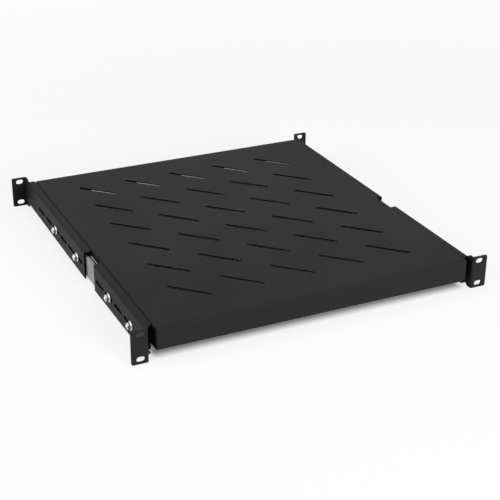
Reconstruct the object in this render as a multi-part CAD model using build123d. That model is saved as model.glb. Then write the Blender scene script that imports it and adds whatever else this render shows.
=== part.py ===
from build123d import *
from math import cos, degrees, radians, sin
import os

# Sliding rack shelf, one unit high, for a 19 inch rack. Millimetres, +X right, +Y towards the rear, +Z up.
# The origin is the centre of the four front ear slots, on the plane where the front ears bear on the rack.

# Rack and ears
hole_span = 465.1            # between the left and right slot centres of the rack standard
hole_rise = 31.75            # between the lower and upper slot centres of one unit
rack_depth = 500.0           # between the front and rear rack planes
ear_width = 20.0             # from the web's outer face
ear_height = 44.0
ear_corner = 2.3
ear_slot_length = 10.6
ear_slot_height = 7.0

# Brackets, folded steel with an ear bent outwards and lips bent inwards
bracket_sheet = 2.0
bracket_span = 448.0         # over the outer faces of the two webs
bracket_bend = 2.0           # bend radius on the sheet's middle line
bracket_top = 19.2
lip_clearance = 0.6          # between the upper lips and the tray
lower_lip_width = 8.1
bracket_gap = 40.0           # between the front and rear brackets' free ends
cut_margin = 1.0             # how far cutters run past what they cut

# Front brackets, a channel with two lips
front_length = 187.0
front_ear_bottom = -18.9     # the channel's underside where the lips begin
front_free_bottom = -20.5    # the channel's underside at its free end
front_lip_start = 10.2
front_lip_cut = (2.0, 2.0)   # cut corner of the upper lip, lengthwise and crosswise
front_shoulder = 6.5         # where the web starts to fall from the ear's height
front_heel = 7.0             # where it starts to rise from the ear's full depth

# Rear brackets, an angle with one lip and a sloping lower edge
rear_ear_bottom = -15.4
rear_free_bottom = -19.5
rear_lip_start = 13.5
rear_lip_cut = (2.0, 2.0)
rear_shoulder = 8.5
rear_heel = 9.0
rear_step = 16.0             # the web has risen to its lower edge here

# Adjusting slots in the brackets' webs
web_slot_length = 27.5
web_slot_height = 5.4
web_slot_pitch = 34.2
web_slot_end = 21.0          # from a bracket's free end to its first slot's middle
web_slot_margin = 60.0       # least distance from the rack plane to the last slot's middle
# Which slots hold studs, counted 0, 1, 2 from the free end, or -1, -2 from the ear
front_stud_pitch_counts = (-1, 1)
front_stud_shifts = (-10.8, -1.5)  # from those slots' middles, away from the free end when negative
rear_stud_pitch_counts = (3, 0)
rear_stud_shifts = (0.5, -8.4)

# Telescopic rails: an outer and an inner rolled channel face each other across an I-shaped middle rail
rail_level = -1.0
rail_height = 31.0
rail_depth = 9.0
rail_sheet = 1.0
rail_front = 16.0
rail_rear_gap = 34.0         # from the outer rails' rear ends to the rear rack plane
ball_diameter = 2.5
race_clearance = 0.2
race_wrap = 120.0            # degrees of the raceway rolled round the balls
middle_web = 1.2
middle_foot = 1.0
middle_foot_reach = 0.25     # from the balls' middle towards the channel's back
middle_crest = 0.55          # the middle rail's web above the balls' middle
middle_root_radius = 0.8
tray_travel = 400.0          # the middle rails travel half of it

# Ball cages, which travel a quarter and three quarters as far as the tray
cage_sheet = 0.5
cage_gap = 0.3               # between a cage and the back of its channel
cage_crest = 0.55            # the cage's edge above the balls' middle
cage_margin = 5.0            # from a cage's ends to the rails' ends when the tray is out
pocket_clearance = 0.2
ball_count = 6               # in each of a cage's two rows
ball_margin = 12.0
cage_window_length = 22.0
cage_window_height = 10.0

# Tray
tray_front = -2.0
tray_rear_gap = 16.0         # from the tray to the rear rack plane
tray_top = 20.4
tray_sheet = 1.5
tray_wall = 29.0
tray_corner = 2.0
tray_inner_corner = 0.6
vent_length = 59.5
vent_width = 5.2
vent_angle = -45.0
vent_pitch_x = 70.0
vent_pitch_y = 68.5
vent_columns = 5
vent_rows = 6
vent_centre_x = -2.0
vent_centre_y = 239.7

# Fasteners: flush-head press-in studs in the outer rails, with flange nuts on the outside of the brackets
stud_diameter = 5.0
stud_tip_chamfer = 0.5
stud_head_diameter = 7.6
stud_head_height = 0.8
stud_tip = 1.2               # stud showing past its nut
fit_clearance = 0.05
nut_flats = 8.0
nut_height = 5.0
nut_chamfer = 0.5
nut_flange_diameter = 11.8
nut_flange_rim = 0.8
nut_flange_height = 1.7

# Solid rivets between the inner rails and the tray's side walls
rivet_diameter = 3.2
rivet_head_diameter = 6.4    # domed, inside the tray
rivet_head_height = 1.4
rivet_sink_diameter = 5.0    # countersunk, flush with the rail
rivet_margin = 30.0          # from the inner rails' ends
rivet_count = 5

# Bumpers at the outer rails' rear ends
bumper_gap = 0.5             # from the closed rails' rear ends
bumper_length = 9.0
bumper_margin = 0.5          # from the outer rail's rear end
bumper_height = 17.0
bumper_depth = 6.2
bumper_corner = 1.2
bumper_peg_diameter = 4.0

web_face = bracket_span / 2
rail_wall = web_face - bracket_sheet            # the webs' inner faces, which carry the outer rails
tray_half_width = rail_wall - rail_depth
race_radius = ball_diameter / 2 + race_clearance
ball_u = rail_sheet + race_radius               # the outer row's depth from the web's inner face
ball_v = rail_height / 2 - ball_u               # the rows' height over the rails' middle
lip_width = web_face - tray_half_width - lip_clearance
rear_length = rack_depth - front_length - bracket_gap
tray_depth = rack_depth - tray_rear_gap - tray_front
outer_rail_length = rack_depth - rail_rear_gap - rail_front
moving_rail_length = outer_rail_length - bumper_margin - bumper_length - bumper_gap
cage_setback = tray_travel / 4 + cage_margin    # from the rails' front ends
cage_length = moving_rail_length - tray_travel / 2 - 2 * cage_margin


def walk(start, heading, moves):
    """Follow straight runs (length, 0) and arcs (radius, turn) and give each step's two ends and centre."""
    x, y = start
    angle = radians(heading)
    steps = []
    for size, turn in moves:
        if turn == 0:
            end = (x + size * cos(angle), y + size * sin(angle))
            steps.append(((x, y), end, angle, angle, None))
        else:
            side = 1 if turn > 0 else -1
            centre = (x - side * size * sin(angle), y + side * size * cos(angle))
            after = angle + radians(turn)
            end = (centre[0] + side * size * sin(after), centre[1] - side * size * cos(after))
            steps.append(((x, y), end, angle, after, (centre, side * size)))
            angle = after
        x, y = end
    return steps


def beside(point, angle, offset):
    """The point at an offset to the left of a heading."""
    return (point[0] - offset * sin(angle), point[1] + offset * cos(angle))


def edge_beside(step, offset):
    """One straight or arc edge that runs at a fixed offset beside a step."""
    start, end, before, after, round_step = step
    first = beside(start, before, offset)
    last = beside(end, after, offset)
    if round_step is None:
        return Line(first, last)
    centre, signed_radius = round_step
    middle = (before + after) / 2
    crest = (centre[0] + signed_radius * sin(middle), centre[1] - signed_radius * cos(middle))
    return ThreePointArc(first, beside(crest, middle, offset), last)


def sheet_section(start, heading, moves, thickness):
    """The cut face of a bent sheet, from the walk of its middle line."""
    steps = walk(start, heading, moves)
    half = thickness / 2
    left = [edge_beside(step, half) for step in steps]
    right = [edge_beside(step, -half) for step in steps]
    ends = [Line(left[0] @ 0, right[0] @ 0), Line(left[-1] @ 1, right[-1] @ 1)]
    return make_face(left + right + ends)


def upright(y):
    """The plane across the shelf at a depth, drawn in X and Z."""
    return Plane(origin=(0, y, 0), x_dir=(1, 0, 0), z_dir=(0, -1, 0))


def side_plane(x):
    """The plane along the shelf at a distance from its middle, drawn in Y and Z."""
    return Plane(origin=(x, 0, 0), x_dir=(0, 1, 0), z_dir=(1, 0, 0))


def lengthwise(section, front, rear):
    """Extrude a section drawn in X and Z from front to rear."""
    return extrude(upright(rear) * section, amount=rear - front)


def box_between(x0, x1, y0, y1, z0, z1):
    """A box from its two corners."""
    return Pos((x0 + x1) / 2, (y0 + y1) / 2, (z0 + z1) / 2) * Box(x1 - x0, y1 - y0, z1 - z0)


def outwards(distance, y, part):
    """Place a part that stands on +Z so that it points left, from a distance to the left of the middle."""
    return Pos(-distance, y, rail_level) * Rot(0, -90, 0) * part


def inwards(distance, y, part):
    """The same, pointing right towards the middle."""
    return Pos(-distance, y, rail_level) * Rot(0, 90, 0) * part


def slot_places(length):
    """How far from its rack plane each adjusting slot of a bracket is, from the free end towards the ear."""
    first = length - web_slot_end
    count = int((first - web_slot_margin) / web_slot_pitch) + 1
    return [first - web_slot_pitch * number for number in range(count)]


def stud_places():
    """How far behind the front rack plane each bracket stud stands, from the slot that holds it."""
    front = slot_places(front_length)
    rear = slot_places(rear_length)
    places = [front[number] + shift for number, shift in zip(front_stud_pitch_counts, front_stud_shifts)]
    seats = [rear[number] + shift for number, shift in zip(rear_stud_pitch_counts, rear_stud_shifts)]
    return places + [rack_depth - seat for seat in seats]


def channel_section(bottom, lower_lip):
    """The cut face of a left bracket behind its ear, with its lower lip or without."""
    half = bracket_sheet / 2
    heel = bracket_bend + half
    web = bracket_top - heel - bottom
    moves = [(lip_width - heel, 0), (bracket_bend, 90)]
    if lower_lip:
        moves += [(web - heel, 0), (bracket_bend, 90), (lower_lip_width - heel, 0)]
    else:
        moves += [(web, 0)]
    return sheet_section((-web_face + lip_width, bracket_top - half), 180, moves, bracket_sheet)


def channel(lip_start, length, ear_bottom, free_bottom, lower_lip):
    """The long part of a left bracket, whose underside runs straight between two heights."""
    near = upright(lip_start) * channel_section(ear_bottom, lower_lip)
    far = upright(length) * channel_section(free_bottom, lower_lip)
    return loft([near, far], ruled=True)


def ear_and_stub(stub_end, outline):
    """A left ear and the web's first stretch, trimmed to a side outline."""
    half = bracket_sheet / 2
    ear_run = ear_width + half - bracket_bend
    stub_run = stub_end + half - bracket_bend
    moves = [(ear_run, 0), (bracket_bend, 90), (stub_run, 0)]
    ear = extrude(sheet_section((-web_face - ear_width, -half), 0, moves, bracket_sheet), amount=ear_height)
    ear = Pos(0, 0, -ear_height / 2) * ear
    corners = ear.edges().filter_by(Axis.Y).group_by(Axis.X)[0]
    ear = fillet(corners, ear_corner)
    slab = extrude(side_plane(-web_face - 2 * ear_width) * make_face(outline), amount=3 * ear_width)
    return ear & slab


def side_outline(shoulder, lip_start, heel, step, lowest):
    """What is kept of an ear and the web's first stretch, seen from the side."""
    top = ear_height / 2
    fall = lip_start - shoulder
    rise = step - heel
    fall_middle = (shoulder + 0.3 * fall, bracket_top + 0.3 * (top - bracket_top))
    rise_middle = (heel + 0.3 * rise, lowest - 0.3 * (top + lowest))
    return [
        Line((-bracket_sheet, -top), (-bracket_sheet, top)),
        Line((-bracket_sheet, top), (shoulder, top)),
        ThreePointArc((shoulder, top), fall_middle, (lip_start, bracket_top)),
        Line((lip_start, bracket_top), (step, bracket_top)),
        Line((step, bracket_top), (step, lowest)),
        ThreePointArc((step, lowest), rise_middle, (heel, -top)),
        Line((heel, -top), (-bracket_sheet, -top)),
    ]


def lip_corner(lip_start, width, cut, level):
    """The wedge that takes a lip's inner front corner away."""
    along, across = cut
    inner = -web_face + width
    outline = Polyline(
        (inner + cut_margin, lip_start - cut_margin),
        (inner + cut_margin, lip_start + along),
        (inner, lip_start + along),
        (inner - across, lip_start),
        (inner - across, lip_start - cut_margin),
        close=True,
    )
    wedge = extrude(make_face(outline), amount=2 * bracket_sheet, both=True)
    return Pos(0, 0, level) * wedge


def ear_slots():
    """Cutters for the two slots of a left ear."""
    outline = SlotOverall(ear_slot_length, ear_slot_height)
    rises = (-hole_rise / 2, hole_rise / 2)
    plane = upright(bracket_sheet)
    return [extrude(plane * Pos(-hole_span / 2, rise) * outline, amount=3 * bracket_sheet) for rise in rises]


def web_slots(places):
    """Cutters for the adjusting slots in a left web."""
    outline = SlotOverall(web_slot_length, web_slot_height)
    plane = side_plane(-web_face - bracket_sheet)
    return [extrude(plane * Pos(place, rail_level) * outline, amount=3 * bracket_sheet) for place in places]


def front_bracket():
    """The front left bracket."""
    part = channel(front_lip_start, front_length, front_ear_bottom, front_free_bottom, True)
    stub_end = front_lip_start + cut_margin
    outline = side_outline(front_shoulder, front_lip_start, front_heel, stub_end, front_ear_bottom)
    part += ear_and_stub(stub_end, outline)
    part -= lip_corner(front_lip_start, lip_width, front_lip_cut, bracket_top)
    return part - ear_slots() - web_slots(slot_places(front_length))


def rear_bracket():
    """The rear left bracket, drawn from the front and turned round to face the rear rack plane."""
    part = channel(rear_lip_start, rear_length, rear_ear_bottom, rear_free_bottom, False)
    outline = side_outline(rear_shoulder, rear_lip_start, rear_heel, rear_step, rear_ear_bottom)
    part += ear_and_stub(rear_step, outline)
    part -= lip_corner(rear_lip_start, lip_width, rear_lip_cut, bracket_top)
    part = part - ear_slots() - web_slots(slot_places(rear_length))
    return Pos(0, rack_depth, 0) * mirror(part, about=Plane.XZ)


def rail_channel():
    """The cut face of an outer rail, drawn from the bracket's web towards the tray."""
    line_radius = race_radius + rail_sheet / 2
    end = walk((rail_sheet / 2, 0), 90, [(ball_v, 0), (line_radius, -race_wrap)])[-1]
    moves = [(line_radius, -race_wrap), (2 * ball_v, 0), (line_radius, -race_wrap)]
    return sheet_section((end[1][0], -end[1][1]), 180 - degrees(end[3]), moves, rail_sheet)


def middle_section():
    """The cut face of a middle rail: a web between the ball rows, and feet under them."""
    middle = rail_depth / 2
    crest = ball_v + middle_crest
    foot_top = ball_v - race_radius
    foot_reach = middle - ball_u + middle_foot_reach
    section = Pos(middle, 0) * Rectangle(middle_web, 2 * crest)
    for side in (-1, 1):
        foot = Rectangle(2 * foot_reach, middle_foot)
        section += Pos(middle, side * (foot_top - middle_foot / 2)) * foot
        block = Rectangle(2 * (middle - ball_u), race_radius)
        section += Pos(middle, side * (ball_v - race_radius / 2)) * block
    for u in (ball_u, rail_depth - ball_u):
        for v in (ball_v, -ball_v):
            section -= Pos(u, v) * Circle(race_radius)
    roots = [corner for corner in section.vertices() if is_middle_root(corner, foot_top)]
    return fillet(roots, middle_root_radius)


def is_middle_root(corner, foot_top):
    """Whether a corner is one of the four where the middle rail's web meets its feet."""
    on_web = abs(abs(corner.X - rail_depth / 2) - middle_web / 2) < 0.01
    under_foot = abs(abs(corner.Y) - foot_top + middle_foot) < 0.01
    return on_web and under_foot


def left_rail(section, length):
    """Extrude a rail section in its place on the left."""
    return Pos(-rail_wall, 0, rail_level) * lengthwise(section, rail_front, rail_front + length)


def facing(section):
    """A rail section turned to face the other way, for the tray's side of the rails."""
    return Pos(rail_depth, 0) * mirror(section, about=Plane.YZ)


def stud_hole():
    """Cutter for a press-in stud, with its head's seat, standing on +Z from the head's face."""
    head = Cylinder(stud_head_diameter / 2 + fit_clearance, 2 * stud_head_height)
    shank = Cylinder(stud_diameter / 2 + fit_clearance, 8 * rail_sheet)
    return head + shank


def outer_rail():
    """The left outer rail, with seats for the bracket studs and the bumper's peg."""
    part = left_rail(rail_channel(), outer_rail_length)
    back = rail_wall - rail_sheet
    part -= [outwards(back, place, stud_hole()) for place in stud_places()]
    peg_hole = Cylinder(bumper_peg_diameter / 2 + fit_clearance, 4 * rail_sheet)
    return part - outwards(back, bumper_place(), peg_hole)


def inner_rail():
    """The left inner rail, with countersunk holes for the rivets."""
    part = left_rail(facing(rail_channel()), moving_rail_length)
    back = tray_half_width + rail_sheet
    return part - [inwards(back, place, rivet_shank(fit_clearance)) for place in rivet_places()]


def ball_places():
    """How far behind the rails' front ends the balls of a row sit."""
    step = (cage_length - 2 * ball_margin) / (ball_count - 1)
    return [rail_front + cage_setback + ball_margin + step * number for number in range(ball_count)]


def ball_sites(u):
    """The balls' middles in a left cage at a depth from the web's inner face."""
    return [Pos(-rail_wall + u, y, rail_level + side * ball_v) for y in ball_places() for side in (-1, 1)]


def balls(u):
    """The two rows of balls of a left cage."""
    return Compound([site * Sphere(ball_diameter / 2) for site in ball_sites(u)])


def cage(u, strip_u):
    """A left ball cage, a strip with open pockets along both edges and a window between each two balls."""
    front = rail_front + cage_setback
    reach = ball_v + cage_crest
    x = -rail_wall + strip_u
    strip = box_between(x, x + cage_sheet, front, front + cage_length, rail_level - reach, rail_level + reach)
    corners = strip.edges().filter_by(Axis.X)
    strip = fillet(corners, 1.0)
    across = Rot(0, 90, 0)
    pocket = across * Cylinder(ball_diameter / 2 + pocket_clearance, rail_depth)
    strip -= [site * pocket for site in ball_sites(u)]
    places = ball_places()
    window = SlotOverall(cage_window_length, cage_window_height)
    for number in range(ball_count - 1):
        middle = (places[number] + places[number + 1]) / 2
        plane = side_plane(x - cage_sheet)
        strip -= extrude(plane * Pos(middle, rail_level) * window, amount=3 * cage_sheet)
    return strip


def stud(grip):
    """A press-in stud that stands on +Z from its head's face and clamps a nut beyond a grip."""
    length = grip + nut_height + stud_tip
    shank = Cylinder(stud_diameter / 2, length, align=(Align.CENTER, Align.CENTER, Align.MIN))
    shank = chamfer(shank.edges().group_by(Axis.Z)[-1], stud_tip_chamfer)
    head = Cylinder(stud_head_diameter / 2, stud_head_height, align=(Align.CENTER, Align.CENTER, Align.MIN))
    return shank + head


def flange_nut():
    """A hexagon nut with a flange, standing on +Z."""
    low = (Align.CENTER, Align.CENTER, Align.MIN)
    corner_radius = nut_flats / 2 / cos(radians(30))
    crown = Cylinder(corner_radius, nut_height, align=low)
    crown = chamfer(crown.edges().group_by(Axis.Z)[-1], nut_chamfer)
    body = crown & extrude(RegularPolygon(corner_radius, 6), amount=nut_height)
    rim = Cylinder(nut_flange_diameter / 2, nut_flange_rim, align=low)
    slope = nut_flange_height - nut_flange_rim
    collar = Pos(0, 0, nut_flange_rim) * Cone(nut_flange_diameter / 2, nut_flats / 2, slope, align=low)
    return body + rim + collar - Cylinder(stud_diameter / 2 + fit_clearance, 4 * nut_height)


def bracket_studs():
    """The studs that hold the left outer rail to its brackets."""
    back = rail_wall - rail_sheet
    return Compound([outwards(back, place, stud(rail_sheet + bracket_sheet)) for place in stud_places()])


def bracket_nuts():
    """The nuts on the outside of the left brackets."""
    return Compound([outwards(web_face, place, flange_nut()) for place in stud_places()])


def rivet_places():
    """How far behind the front rack plane the rivets stand."""
    step = (moving_rail_length - 2 * rivet_margin) / (rivet_count - 1)
    return [rail_front + rivet_margin + step * number for number in range(rivet_count)]


def rivet_shank(clearance):
    """A rivet's shank and flush countersunk head, or its hole, standing on +Z from the rail's inner face."""
    low = (Align.CENTER, Align.CENTER, Align.MIN)
    radius = rivet_diameter / 2 + clearance
    sink = Cone(rivet_sink_diameter / 2 + clearance, radius, rail_sheet, align=low)
    return sink + Cylinder(radius, rail_sheet + tray_sheet, align=low)


def rivet():
    """A solid rivet with its domed head, a slice of a sphere, beyond the rail and the tray's wall."""
    cap_radius = ((rivet_head_diameter / 2) ** 2 + rivet_head_height ** 2) / (2 * rivet_head_height)
    grip = rail_sheet + tray_sheet
    dome = Pos(0, 0, grip + rivet_head_height - cap_radius) * Sphere(cap_radius)
    dome &= Pos(0, 0, grip) * Cylinder(
        rivet_head_diameter, 2 * rivet_head_height, align=(Align.CENTER, Align.CENTER, Align.MIN)
    )
    return rivet_shank(0) + dome


def rivets():
    """The rivets that hold the left inner rail to the tray."""
    back = tray_half_width + rail_sheet
    return Compound([inwards(back, place, rivet()) for place in rivet_places()])


def bumper_place():
    """How far behind the front rack plane the bumpers' middles are."""
    return rail_front + moving_rail_length + bumper_gap + bumper_length / 2


def bumper():
    """The left bumper, a block in the outer rail's rear end with a peg into its back."""
    block = Pos(0, 0, bumper_depth / 2) * Box(bumper_height, bumper_length, bumper_depth)
    block = fillet(block.edges().filter_by(Axis.Z), bumper_corner)
    peg = Cylinder(bumper_peg_diameter / 2, rail_sheet, align=(Align.CENTER, Align.CENTER, Align.MAX))
    return inwards(rail_wall - rail_sheet, bumper_place(), block + peg)


def vents():
    """Cutters for the tray's slanting slots."""
    outline = Rot(0, 0, vent_angle) * SlotOverall(vent_length, vent_width)
    cutters = []
    for column in range(vent_columns):
        x = vent_centre_x + vent_pitch_x * (column - (vent_columns - 1) / 2)
        for row in range(vent_rows):
            y = vent_centre_y + vent_pitch_y * (row - (vent_rows - 1) / 2)
            cutters.append(extrude(Pos(x, y, tray_top - 2 * tray_sheet) * outline, amount=3 * tray_sheet))
    return cutters


def shelf_tray():
    """The tray, an upside-down folded pan with welded corners, slanting vents and rivet holes."""
    rear = tray_front + tray_depth
    half = tray_half_width
    shell = box_between(-half, half, tray_front, rear, tray_top - tray_wall, tray_top)
    upper = shell.edges().group_by(Axis.Z)[-1]
    shell = fillet(upper + shell.edges().filter_by(Axis.Z), tray_corner)
    inside = box_between(
        -half + tray_sheet,
        half - tray_sheet,
        tray_front + tray_sheet,
        rear - tray_sheet,
        tray_top - 2 * tray_wall,
        tray_top - tray_sheet,
    )
    upper = inside.edges().group_by(Axis.Z)[-1]
    inside = fillet(upper + inside.edges().filter_by(Axis.Z), tray_inner_corner)
    part = shell - inside - vents()
    hole = Cylinder(rivet_diameter / 2 + fit_clearance, 4 * tray_sheet)
    holes = [inwards(half, place, hole) for place in rivet_places()]
    return part - holes - [mirror(cutter, about=Plane.YZ) for cutter in holes]


def left_parts():
    """The pieces that come in pairs, in their places on the left."""
    far_u = rail_depth - ball_u
    strip_u = rail_sheet + cage_gap
    return {
        "outer_rail": outer_rail(),
        "middle_rail": left_rail(middle_section(), moving_rail_length),
        "inner_rail": inner_rail(),
        "outer_cage": cage(ball_u, strip_u),
        "inner_cage": cage(far_u, rail_depth - strip_u - cage_sheet),
        "outer_balls": balls(ball_u),
        "inner_balls": balls(far_u),
        "bracket_studs": bracket_studs(),
        "bracket_nuts": bracket_nuts(),
        "tray_rivets": rivets(),
        "bumper": bumper(),
    }


def all_parts():
    """Every piece by name."""
    front = front_bracket()
    rear = rear_bracket()
    parts = {
        "shelf_tray": shelf_tray(),
        "front_left_bracket": front,
        "front_right_bracket": mirror(front, about=Plane.YZ),
        "rear_left_bracket": rear,
        "rear_right_bracket": mirror(rear, about=Plane.YZ),
    }
    for name, part in left_parts().items():
        parts["left_" + name] = part
        parts["right_" + name] = mirror(part, about=Plane.YZ)
    return parts


os.makedirs("parts", exist_ok=True)
for part_name, solid in all_parts().items():
    export_step(solid, "parts/" + part_name + ".step")
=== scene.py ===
"""Sliding rack shelf: finishes, threads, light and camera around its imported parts. Metres, +Z up."""

import math

import bpy
import numpy as np
from mathutils import Matrix


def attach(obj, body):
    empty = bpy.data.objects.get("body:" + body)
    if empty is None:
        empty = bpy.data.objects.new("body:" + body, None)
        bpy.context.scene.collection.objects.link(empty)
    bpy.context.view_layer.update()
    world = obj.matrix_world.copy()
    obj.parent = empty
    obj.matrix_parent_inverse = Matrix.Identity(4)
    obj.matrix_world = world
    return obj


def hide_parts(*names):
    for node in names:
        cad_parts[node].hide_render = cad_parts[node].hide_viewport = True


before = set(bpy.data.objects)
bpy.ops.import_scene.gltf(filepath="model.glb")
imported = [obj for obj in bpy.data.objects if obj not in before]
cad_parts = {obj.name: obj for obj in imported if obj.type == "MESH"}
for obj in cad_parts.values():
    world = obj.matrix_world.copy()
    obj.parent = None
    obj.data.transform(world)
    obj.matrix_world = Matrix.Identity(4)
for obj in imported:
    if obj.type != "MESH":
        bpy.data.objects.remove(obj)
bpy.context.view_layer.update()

MM = 0.001

# Studs, in the places that the rails and brackets give them
STUD_PLACES = (52.6, 130.3, 256.4, 350.1)    # mm behind the front rack plane
STUD_FACE = 221.0                             # mm from the middle to the heads' flush faces
GRIP = 3.0
RAIL_LEVEL = -1.0
HEAD_RADIUS = 3.8
HEAD_HEIGHT = 0.8
THREAD_RADIUS = 2.5
THREAD_PITCH = 0.8
THREAD_DEPTH = 0.46
NUT_HEIGHT = 5.0
STUD_TIP = 1.2
TIP_CHAMFER = 0.5

# The floor lies under the ears' lower edges
FLOOR_LEVEL = -22.0
FLOOR_SIZE = 9.0
FLOOR_NEAR = 900.0    # where the floor starts to glow fully, from the origin
FLOOR_FAR = 2200.0    # and where it does
FLOOR_GLOW = 0.8     # the part of the seen white that shadows cannot reach
FLOOR_LIT = 0.3      # the grey that takes the lamps' light and the shadows on top of it
ROOM_LIGHT = 0.2     # the white room's strength as a light

# The stretch under the shelf, behind the front rack plane, where the floor does not glow, and its soft edges.
# Leaving the glow out paints shade there, and the real shadows show in it too
SHADE_HALF_WIDTH = 221.0
SHADE_REAR = 542.0
SHADE_SIDE_FADE = 12.0
SHADE_FRONT_FADE = 16.0
SHADE_REAR_FADE = 28.0

# The stretches of the rails that are left bright, behind the front rack plane; beyond them the rails get
# painted shade, black
OUTER_UNSHADED = (186.0, 226.5)
INNER_UNSHADED = (18.0, 460.0)

# Inside the thickness of the brackets' webs and of the tray's top, where only sheared walls are, and where
# shade is painted on them
WEB_INSIDE = (222.15, 223.85)
WEB_STRETCH = (10.0, 490.0)
TRAY_TOP_INSIDE = (19.0, 20.25)
VENT_STRETCH = (30.0, 460.0)
# How far a wall's normal may turn out of the web's or the top's plane
WEB_TURN = 0.3
VENT_TURN = 0.1

# Camera, found from the ears, slots, vents and tray edges in the photo
CAMERA_PLACE = (-634.6, -1132.6, 695.5)
CAMERA_AZIMUTH = -25.52
CAMERA_ELEVATION = 25.57
CAMERA_ROLL = 0.439
CAMERA_FOCAL_PIXELS = 1205.7
PHOTO_PIXELS = 500
SENSOR_WIDTH = 36.0


def linear(colour):
    """Turn an sRGB hex colour into linear red, green, blue and alpha."""
    shares = [int(colour[place:place + 2], 16) / 255 for place in (1, 3, 5)]
    return tuple(s / 12.92 if s <= 0.04045 else ((s + 0.055) / 1.055) ** 2.4 for s in shares) + (1.0,)


def per_mm(size):
    """The scale that gives a texture features of a size in millimetres."""
    return 1.0 / (size * MM)


def lay(tree, kind, values=None, links=None, **settings):
    """Add a node, set its properties and sockets, and link its sockets from other nodes' outputs."""
    made = tree.nodes.new(kind)
    for name, value in settings.items():
        setattr(made, name, value)
    for socket, value in (values or {}).items():
        made.inputs[socket].default_value = value
    for socket, source in (links or {}).items():
        tree.links.new(source, made.inputs[socket])
    return made


def empty_material(name):
    """A material with an output node alone, and its node tree."""
    material = bpy.data.materials.new(name)
    material.use_nodes = True
    tree = material.node_tree
    tree.nodes.clear()
    return material, tree, tree.nodes.new("ShaderNodeOutputMaterial")


def distance_inside(tree, value, low, high):
    """How far a coordinate lies inside a range, in metres, and negative outside it."""
    middle = lay(tree, "ShaderNodeMath", {1: (low + high) / 2 * MM}, {0: value}, operation="SUBTRACT")
    off = lay(tree, "ShaderNodeMath", None, {0: middle.outputs["Value"]}, operation="ABSOLUTE")
    inside = lay(tree, "ShaderNodeMath", {0: (high - low) / 2 * MM}, {1: off.outputs["Value"]},
                 operation="SUBTRACT")
    return inside.outputs["Value"]


def flat_along(tree, part, limit):
    """How far a normal's part along one axis stays under a limit, negative where it passes it."""
    size = lay(tree, "ShaderNodeMath", None, {0: part}, operation="ABSOLUTE")
    left = lay(tree, "ShaderNodeMath", {0: limit}, {1: size.outputs["Value"]}, operation="SUBTRACT")
    return left.outputs["Value"]


def least(tree, *values):
    """The least of several values."""
    lowest = values[0]
    for value in values[1:]:
        pair = lay(tree, "ShaderNodeMath", None, {0: lowest, 1: value}, operation="MINIMUM")
        lowest = pair.outputs["Value"]
    return lowest


def painted_shade_on_cut_walls(tree, place):
    """One on the sheared walls of the vents, the slots and the webs' ends, where shade is painted, and nought
    elsewhere.
    """
    split = lay(tree, "ShaderNodeSeparateXYZ", None, {"Vector": place})
    true_normal = lay(tree, "ShaderNodeNewGeometry").outputs["True Normal"]
    face = lay(tree, "ShaderNodeSeparateXYZ", None, {"Vector": true_normal})
    side = lay(tree, "ShaderNodeMath", None, {0: split.outputs["X"]}, operation="ABSOLUTE")
    web = least(tree, distance_inside(tree, side.outputs["Value"], *WEB_INSIDE),
                distance_inside(tree, split.outputs["Y"], *WEB_STRETCH),
                flat_along(tree, face.outputs["X"], WEB_TURN))
    vent = least(tree, distance_inside(tree, split.outputs["Z"], *TRAY_TOP_INSIDE),
                 distance_inside(tree, split.outputs["Y"], *VENT_STRETCH),
                 flat_along(tree, face.outputs["Z"], VENT_TURN))
    nearest = lay(tree, "ShaderNodeMath", None, {0: web, 1: vent}, operation="MAXIMUM")
    wall = lay(tree, "ShaderNodeMath", {1: 0.0}, {0: nearest.outputs["Value"]}, operation="GREATER_THAN")
    return wall.outputs["Value"]


def powder_film(tree, place):
    """The shader of polyester powder coat: black, satin, with a fine grain that breaks up highlights, and
    with painted shade on the walls of narrow cuts.
    """
    # The real grain is about 0.4 mm, drawn at 1.1 mm so that it shows
    grain = lay(tree, "ShaderNodeTexNoise", {"Scale": per_mm(1.1), "Detail": 2.0, "Roughness": 0.55},
                {"Vector": place})
    # Powder flows into soft waves some millimetres long as it bakes
    waves = lay(tree, "ShaderNodeTexNoise", {"Scale": per_mm(9.0), "Detail": 1.0}, {"Vector": place})
    # Film thickness drifts over a hand's width
    drift = lay(tree, "ShaderNodeTexNoise", {"Scale": per_mm(130.0), "Detail": 2.0}, {"Vector": place})
    tone = lay(tree, "ShaderNodeMix", {6: linear("#1d1d1e"), 7: linear("#222223")},
               {0: drift.outputs["Fac"]}, data_type="RGBA")
    # Painted shade: the walls of narrow cuts in the vents, slots and webs' ends are made near black and their
    # shine is lowered, where shade falls
    wall_shade = painted_shade_on_cut_walls(tree, place)
    tone_with_wall_shade = lay(tree, "ShaderNodeMix", {7: linear("#050505")}, {0: wall_shade, 6: tone.outputs[2]},
                 data_type="RGBA")
    # The painted shade also dims the coat's shine on those walls
    shine_dimmed_in_wall_shade = lay(tree, "ShaderNodeMapRange", {"To Min": 0.1, "To Max": 0.01}, {"Value": wall_shade})
    gloss = lay(tree, "ShaderNodeMapRange",
                {"From Min": 0.3, "From Max": 0.7, "To Min": 0.52, "To Max": 0.6},
                {"Value": drift.outputs["Fac"]})
    wave_bump = lay(tree, "ShaderNodeBump", {"Strength": 0.25, "Distance": 0.05 * MM},
                    {"Height": waves.outputs["Fac"]})
    bump = lay(tree, "ShaderNodeBump", {"Strength": 0.55, "Distance": 0.05 * MM},
               {"Height": grain.outputs["Fac"], "Normal": wave_bump.outputs["Normal"]})
    coat = lay(tree, "ShaderNodeBsdfPrincipled", {"IOR": 1.5},
               {"Specular IOR Level": shine_dimmed_in_wall_shade.outputs["Result"], "Base Color": tone_with_wall_shade.outputs[2],
                "Roughness": gloss.outputs["Result"], "Normal": bump.outputs["Normal"]})
    return coat.outputs["BSDF"]


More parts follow.
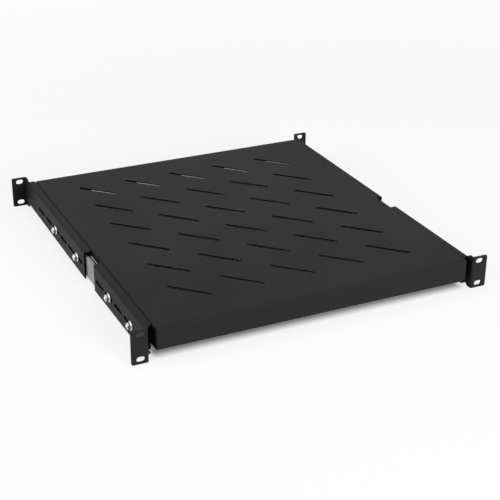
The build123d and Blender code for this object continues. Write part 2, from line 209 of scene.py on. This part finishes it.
def black_powder_coat():
    """Black powder coat baked on the tray and the brackets, with painted shade on the walls of its vents,
    slots and webs' ends.
    """
    material, tree, out = empty_material("black_powder_coat")
    place = lay(tree, "ShaderNodeTexCoord").outputs["Object"]
    tree.links.new(powder_film(tree, place), out.inputs["Surface"])
    return material


def rolled_film(tree, place):
    """The shader of cold-rolled steel strip with zinc plate: pale grey, with faint rolling lines."""
    # Rolling lines run along the rail, 0.3 mm apart and drawn at 0.7 mm, and stay alike for 80 mm
    along = lay(tree, "ShaderNodeMapping", {"Scale": (1.0, 0.7 / 80.0, 1.0)}, {"Vector": place})
    lines = lay(tree, "ShaderNodeTexNoise", {"Scale": per_mm(0.7), "Detail": 3.0},
                {"Vector": along.outputs["Vector"]})
    # Plating bath and handling leave cloudy patches
    clouds = lay(tree, "ShaderNodeTexNoise", {"Scale": per_mm(22.0), "Detail": 3.0}, {"Vector": place})
    tone = lay(tree, "ShaderNodeMix", {6: linear("#76787a"), 7: linear("#8e9091")},
               {0: clouds.outputs["Fac"]}, data_type="RGBA")
    gloss = lay(tree, "ShaderNodeMapRange", {"To Min": 0.22, "To Max": 0.4}, {"Value": lines.outputs["Fac"]})
    bump = lay(tree, "ShaderNodeBump", {"Strength": 0.3, "Distance": 0.02 * MM},
               {"Height": lines.outputs["Fac"]})
    metal = lay(tree, "ShaderNodeBsdfPrincipled", {"Metallic": 1.0},
                {"Base Color": tone.outputs[2], "Roughness": gloss.outputs["Result"],
                 "Normal": bump.outputs["Normal"]})
    return metal.outputs["BSDF"]


def rail_steel_with_painted_shade(name, unshaded_from, unshaded_to):
    """Rolled zinc-plated rail, bright in one stretch and with painted shade beyond it, black where the
    brackets and the tray shade it.
    """
    material, tree, out = empty_material(name)
    place = lay(tree, "ShaderNodeTexCoord").outputs["Object"]
    split = lay(tree, "ShaderNodeSeparateXYZ", None, {"Vector": place})
    depth = distance_inside(tree, split.outputs["Y"], unshaded_from, unshaded_to)
    # The painted shade's edge wanders by half a millimetre
    ragged = lay(tree, "ShaderNodeTexNoise", {"Scale": per_mm(3.0), "Detail": 2.0}, {"Vector": place})
    edge = lay(tree, "ShaderNodeMapRange", {"To Min": -0.5 * MM, "To Max": 0.5 * MM},
               {"Value": ragged.outputs["Fac"]})
    reach = lay(tree, "ShaderNodeMath", None, {0: depth, 1: edge.outputs["Result"]}, operation="ADD")
    share = lay(tree, "ShaderNodeMapRange", {"From Min": -0.1 * MM, "From Max": 0.1 * MM},
                {"Value": reach.outputs["Value"]})
    # Painted shade: beyond the bright stretch the rail takes the black coat's shader, where shade falls
    # inside the brackets and at the rail's ends
    both = lay(tree, "ShaderNodeMixShader", None,
               {0: share.outputs["Result"], 1: powder_film(tree, place), 2: rolled_film(tree, place)})
    tree.links.new(both.outputs["Shader"], out.inputs["Surface"])
    return material


def bright_zinc():
    """Bright blue-passivated zinc on turned and cold-headed steel: nearly mirror-like, with fine pits."""
    material, tree, out = empty_material("bright_zinc")
    place = lay(tree, "ShaderNodeTexCoord").outputs["Object"]
    patches = lay(tree, "ShaderNodeTexNoise", {"Scale": per_mm(3.0), "Detail": 2.0}, {"Vector": place})
    pits = lay(tree, "ShaderNodeTexNoise", {"Scale": per_mm(0.4), "Detail": 1.0}, {"Vector": place})
    tone = lay(tree, "ShaderNodeMix", {6: linear("#ced1d6"), 7: linear("#e3e4e4")},
               {0: patches.outputs["Fac"]}, data_type="RGBA")
    gloss = lay(tree, "ShaderNodeMapRange", {"To Min": 0.16, "To Max": 0.32},
                {"Value": patches.outputs["Fac"]})
    bump = lay(tree, "ShaderNodeBump", {"Strength": 0.15, "Distance": 0.02 * MM},
               {"Height": pits.outputs["Fac"]})
    metal = lay(tree, "ShaderNodeBsdfPrincipled", {"Metallic": 1.0},
                {"Base Color": tone.outputs[2], "Roughness": gloss.outputs["Result"],
                 "Normal": bump.outputs["Normal"]})
    tree.links.new(metal.outputs["BSDF"], out.inputs["Surface"])
    return material


def greased_strip():
    """Bare punched steel strip under a film of grease: darker than the plated rails, with wet patches."""
    material, tree, out = empty_material("greased_strip")
    place = lay(tree, "ShaderNodeTexCoord").outputs["Object"]
    film = lay(tree, "ShaderNodeTexNoise", {"Scale": per_mm(7.0), "Detail": 3.0}, {"Vector": place})
    tone = lay(tree, "ShaderNodeMix", {6: linear("#7d7a72"), 7: linear("#9a9a98")},
               {0: film.outputs["Fac"]}, data_type="RGBA")
    gloss = lay(tree, "ShaderNodeMapRange", {"To Min": 0.18, "To Max": 0.42}, {"Value": film.outputs["Fac"]})
    metal = lay(tree, "ShaderNodeBsdfPrincipled", {"Metallic": 1.0},
                {"Base Color": tone.outputs[2], "Roughness": gloss.outputs["Result"]})
    tree.links.new(metal.outputs["BSDF"], out.inputs["Surface"])
    return material


def ground_bearing_steel():
    """Ground and lapped chrome steel balls: a clean dark mirror with faint lapping haze."""
    material, tree, out = empty_material("ground_bearing_steel")
    place = lay(tree, "ShaderNodeTexCoord").outputs["Object"]
    haze = lay(tree, "ShaderNodeTexNoise", {"Scale": per_mm(0.6), "Detail": 2.0}, {"Vector": place})
    gloss = lay(tree, "ShaderNodeMapRange", {"To Min": 0.04, "To Max": 0.12}, {"Value": haze.outputs["Fac"]})
    metal = lay(tree, "ShaderNodeBsdfPrincipled", {"Metallic": 1.0, "Base Color": linear("#c9c9c8")},
                {"Roughness": gloss.outputs["Result"]})
    tree.links.new(metal.outputs["BSDF"], out.inputs["Surface"])
    return material


def natural_nylon():
    """Moulded natural nylon: milky, slightly yellow, with the mould's fine matt grain."""
    material, tree, out = empty_material("natural_nylon")
    place = lay(tree, "ShaderNodeTexCoord").outputs["Object"]
    grain = lay(tree, "ShaderNodeTexNoise", {"Scale": per_mm(0.5), "Detail": 2.0}, {"Vector": place})
    flow = lay(tree, "ShaderNodeTexNoise", {"Scale": per_mm(6.0), "Detail": 1.0}, {"Vector": place})
    tone = lay(tree, "ShaderNodeMix", {6: linear("#d6d0bf"), 7: linear("#e2ddd0")},
               {0: flow.outputs["Fac"]}, data_type="RGBA")
    bump = lay(tree, "ShaderNodeBump", {"Strength": 0.3, "Distance": 0.03 * MM},
               {"Height": grain.outputs["Fac"]})
    plastic = lay(tree, "ShaderNodeBsdfPrincipled", {"IOR": 1.53, "Roughness": 0.46},
                  {"Base Color": tone.outputs[2], "Normal": bump.outputs["Normal"]})
    tree.links.new(plastic.outputs["BSDF"], out.inputs["Surface"])
    return material


def studio_white():
    """Matt white studio floor, whiter to the camera and shiny metal outside the stretch under the shelf, so
    that shade is painted in that stretch.
    """
    material, tree, out = empty_material("studio_white")
    place = lay(tree, "ShaderNodeTexCoord").outputs["Object"]
    split = lay(tree, "ShaderNodeSeparateXYZ", None, {"Vector": place})
    inside = distance_inside(tree, split.outputs["X"], -SHADE_HALF_WIDTH, SHADE_HALF_WIDTH)
    across = lay(tree, "ShaderNodeMapRange", {"From Max": SHADE_SIDE_FADE * MM}, {"Value": inside})
    front = lay(tree, "ShaderNodeMapRange", {"From Max": SHADE_FRONT_FADE * MM},
                {"Value": split.outputs["Y"]})
    rear = lay(tree, "ShaderNodeMapRange",
               {"From Min": SHADE_REAR * MM, "From Max": (SHADE_REAR - SHADE_REAR_FADE) * MM},
               {"Value": split.outputs["Y"]})
    along = lay(tree, "ShaderNodeMath", None, {0: front.outputs["Result"], 1: rear.outputs["Result"]},
                operation="MULTIPLY")
    shade = lay(tree, "ShaderNodeMath", None, {0: across.outputs["Result"], 1: along.outputs["Value"]},
                operation="MULTIPLY")
    # Painted shade: in the stretch under the shelf the glow is left out, so the floor there is darker under
    # any lamps, and its real shadows show as well
    open_floor = lay(tree, "ShaderNodeMapRange", {"To Min": 1.0, "To Max": 0.0},
                     {"Value": shade.outputs["Value"]})
    sight = lay(tree, "ShaderNodeLightPath")
    mirrored = lay(tree, "ShaderNodeMath", None,
                   {0: sight.outputs["Is Glossy Ray"], 1: sight.outputs["Is Transmission Ray"]},
                   operation="MAXIMUM")
    seen = lay(tree, "ShaderNodeMath", None,
               {0: sight.outputs["Is Camera Ray"], 1: mirrored.outputs["Value"]}, operation="MAXIMUM")
    share = lay(tree, "ShaderNodeMath", None,
                {0: seen.outputs["Value"], 1: open_floor.outputs["Result"]}, operation="MULTIPLY")
    paint = lay(tree, "ShaderNodeBsdfDiffuse", {"Color": linear("#f2f2f2")})
    # Where it is seen, part of the white glows and part is lit, so that shadows still show on it
    glow = lay(tree, "ShaderNodeEmission", {"Color": (1.0, 1.0, 1.0, 1.0), "Strength": FLOOR_GLOW})
    lit = lay(tree, "ShaderNodeBsdfDiffuse", {"Color": (FLOOR_LIT, FLOOR_LIT, FLOOR_LIT, 1.0)})
    white = lay(tree, "ShaderNodeAddShader", None, {0: glow.outputs["Emission"], 1: lit.outputs["BSDF"]})
    # Far from the shelf and its shadow the floor meets the white room without an edge
    reach = lay(tree, "ShaderNodeVectorMath", None, {0: place}, operation="LENGTH")
    far = lay(tree, "ShaderNodeMapRange", {"From Min": FLOOR_NEAR * MM, "From Max": FLOOR_FAR * MM},
              {"Value": reach.outputs["Value"]})
    full = lay(tree, "ShaderNodeEmission", {"Color": (1.0, 1.0, 1.0, 1.0), "Strength": 1.0})
    ground = lay(tree, "ShaderNodeMixShader", None,
                 {0: far.outputs["Result"], 1: white.outputs["Shader"], 2: full.outputs["Emission"]})
    both = lay(tree, "ShaderNodeMixShader", None,
               {0: share.outputs["Value"], 1: paint.outputs["BSDF"], 2: ground.outputs["Shader"]})
    tree.links.new(both.outputs["Shader"], out.inputs["Surface"])
    return material


def grid_faces(rows, columns):
    """Quads between neighbours of a grid whose columns close on themselves."""
    row = np.arange(rows - 1)[:, None]
    column = np.arange(columns)[None, :]
    after = (column + 1) % columns
    corners = [row * columns + column, row * columns + after,
               (row + 1) * columns + after, (row + 1) * columns + column]
    return np.stack(corners, axis=-1).reshape(-1, 4)


def threaded_stud(segments=28, steps_per_pitch=8):
    """Points and faces of a press-in stud that stands on +Z from its head's face, in millimetres.

    The head is a disc. The shank's radius at height h and angle a is the thread radius less the depth times a
    triangle wave of h / pitch - a / full turn, fading in under the head and cut back to a cone at the tip.
    """
    length = GRIP + NUT_HEIGHT + STUD_TIP
    shank_start = HEAD_HEIGHT
    count = int((length - shank_start) / THREAD_PITCH * steps_per_pitch)
    heights = np.linspace(shank_start, length, count)
    angles = np.linspace(0.0, 2 * np.pi, segments, endpoint=False)
    h, a = np.meshgrid(heights, angles, indexing="ij")
    turn = h / THREAD_PITCH - a / (2 * np.pi)
    wave = 2 * np.abs(turn - np.floor(turn) - 0.5)
    fade = np.clip((h - shank_start) / 0.6, 0.0, 1.0)
    radius = THREAD_RADIUS - THREAD_DEPTH * wave * fade
    cone = THREAD_RADIUS - np.clip(h - (length - TIP_CHAMFER), 0.0, None)
    radius = np.minimum(radius, cone)
    shank = np.stack([radius * np.cos(a), radius * np.sin(a), h], axis=-1)
    head = []
    for ring_radius, height in ((0.01, 0.0), (HEAD_RADIUS - 0.15, 0.0), (HEAD_RADIUS, 0.15),
                                (HEAD_RADIUS, HEAD_HEIGHT), (THREAD_RADIUS, HEAD_HEIGHT)):
        ring = [ring_radius * np.cos(angles), ring_radius * np.sin(angles), np.full(segments, height)]
        head.append(np.stack(ring, axis=-1))
    tip = [0.01 * np.cos(angles), 0.01 * np.sin(angles), np.full(segments, length)]
    rings = np.concatenate([np.stack(head), shank, np.stack(tip, axis=-1)[None]])
    points = rings.reshape(-1, 3)
    faces = grid_faces(len(rings), segments)
    last = (len(rings) - 1) * segments
    caps = [list(range(segments))[::-1], list(range(last, last + segments))]
    return points, faces, caps


def stud_row(name, side):
    """One mesh of threaded studs at their places along a rail, pointing outwards from its inner face."""
    points, faces, caps = threaded_stud()
    all_points = []
    all_faces = []
    for number, place in enumerate(STUD_PLACES):
        turned = np.stack([side * points[:, 2], points[:, 0], side * points[:, 1]], axis=-1)
        moved = turned + np.array([side * STUD_FACE, place, RAIL_LEVEL])
        start = number * len(points)
        all_points.append(moved)
        all_faces += (faces + start).tolist()
        all_faces += [[corner + start for corner in cap] for cap in caps]
    mesh = bpy.data.meshes.new(name)
    mesh.from_pydata((np.concatenate(all_points) * MM).tolist(), [], all_faces)
    mesh.update()
    mesh.shade_smooth()
    piece = bpy.data.objects.new(name, mesh)
    bpy.context.scene.collection.objects.link(piece)
    return piece


def dress_studs(zinc):
    """Threaded studs in place of the plain ones."""
    for side_name, side in (("left", -1), ("right", 1)):
        piece = stud_row(side_name + "_threaded_studs", side)
        piece.data.materials.append(zinc)
        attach(piece, "rack_frame")
        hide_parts(side_name + "_bracket_studs")


def finish_nodes():
    """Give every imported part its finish, by the end of its name."""
    coat = black_powder_coat()
    outer = rail_steel_with_painted_shade("outer_rail_steel", *OUTER_UNSHADED)
    rolled = rail_steel_with_painted_shade("moving_rail_steel", *INNER_UNSHADED)
    zinc = bright_zinc()
    strip = greased_strip()
    ball = ground_bearing_steel()
    nylon = natural_nylon()
    finishes = (
        ("shelf_tray", coat), ("bracket", coat), ("outer_rail", outer), ("rail", rolled), ("cage", strip),
        ("balls", ball), ("nuts", zinc), ("studs", zinc), ("rivets", zinc), ("bumper", nylon),
    )
    for name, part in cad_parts.items():
        finish = next(material for ending, material in finishes if name.endswith(ending))
        part.data.materials.clear()
        part.data.materials.append(finish)
    return zinc


def studio_floor():
    """A white floor under the ears."""
    half = FLOOR_SIZE / 2
    level = FLOOR_LEVEL * MM
    corners = [(-half, -half, level), (half, -half, level), (half, half, level), (-half, half, level)]
    mesh = bpy.data.meshes.new("studio_floor")
    mesh.from_pydata(corners, [], [(0, 1, 2, 3)])
    mesh.update()
    floor = bpy.data.objects.new("studio_floor", mesh)
    bpy.context.scene.collection.objects.link(floor)
    floor.data.materials.append(studio_white())


def studio_world():
    """A white room: plain white where it is seen or mirrored, and softer as a light."""
    world = bpy.data.worlds.new("studio_world")
    world.use_nodes = True
    tree = world.node_tree
    tree.nodes.clear()
    sight = lay(tree, "ShaderNodeLightPath")
    seen = lay(tree, "ShaderNodeMath", None,
               {0: sight.outputs["Is Camera Ray"], 1: sight.outputs["Is Transmission Ray"]},
               operation="MAXIMUM")
    mirrored = lay(tree, "ShaderNodeMath", None,
                   {0: seen.outputs["Value"], 1: sight.outputs["Is Glossy Ray"]}, operation="MAXIMUM")
    strength = lay(tree, "ShaderNodeMix", {2: ROOM_LIGHT, 3: 1.0}, {0: mirrored.outputs["Value"]})
    light = lay(tree, "ShaderNodeBackground", {"Color": (1.0, 1.0, 1.0, 1.0)},
                {"Strength": strength.outputs[0]})
    out = lay(tree, "ShaderNodeOutputWorld")
    tree.links.new(light.outputs["Background"], out.inputs["Surface"])
    bpy.context.scene.world = world


def softbox(name, place, aim, width, height, power):
    """A rectangular lamp at a place, turned so that its front looks at a point."""
    lamp = bpy.data.lights.new(name, "AREA")
    lamp.shape = "RECTANGLE"
    lamp.size = width
    lamp.size_y = height
    lamp.energy = power
    holder = bpy.data.objects.new(name, lamp)
    bpy.context.scene.collection.objects.link(holder)
    away = np.array(place, float) - np.array(aim, float)
    away /= np.linalg.norm(away)
    side = np.cross((0.0, 0.0, 1.0), away)
    if np.linalg.norm(side) < 1e-6:
        side = np.array((1.0, 0.0, 0.0))
    side /= np.linalg.norm(side)
    up = np.cross(away, side)
    turn = Matrix((side, up, away)).transposed().to_4x4()
    holder.matrix_world = Matrix.Translation(place) @ turn


def studio_lights():
    """Soft light from the left, from above and from the front right."""
    middle = (0.0, 0.25, 0.0)
    softbox("left_softbox", (-2.2, 0.4, 0.9), middle, 1.6, 1.0, 18.0)
    softbox("top_softbox", (0.2, 0.6, 2.0), middle, 1.8, 1.8, 5.0)
    softbox("front_softbox", (0.6, -2.5, 0.55), middle, 1.6, 1.0, 70.0)


def photo_camera():
    """The camera at the photo's place, turned by its azimuth, elevation and roll."""
    azimuth, elevation, roll = (math.radians(a) for a in (CAMERA_AZIMUTH, CAMERA_ELEVATION, CAMERA_ROLL))
    flat = math.cos(elevation)
    back = np.array([math.sin(azimuth) * flat, -math.cos(azimuth) * flat, math.sin(elevation)])
    level = np.array([math.cos(azimuth), math.sin(azimuth), 0.0])
    rise = np.cross(back, level)
    right = math.cos(roll) * level + math.sin(roll) * rise
    up = -math.sin(roll) * level + math.cos(roll) * rise
    lens = bpy.data.cameras.new("photo_camera")
    lens.sensor_fit = "HORIZONTAL"
    lens.sensor_width = SENSOR_WIDTH
    lens.lens = CAMERA_FOCAL_PIXELS / PHOTO_PIXELS * SENSOR_WIDTH
    lens.clip_end = 30.0
    holder = bpy.data.objects.new("photo_camera", lens)
    bpy.context.scene.collection.objects.link(holder)
    turn = Matrix((right, up, back)).transposed().to_4x4()
    holder.matrix_world = Matrix.Translation([length * MM for length in CAMERA_PLACE]) @ turn
    bpy.context.scene.camera = holder


bpy.context.scene.view_settings.view_transform = "Standard"
photo_camera()
dress_studs(finish_nodes())
studio_floor()
studio_world()
studio_lights()
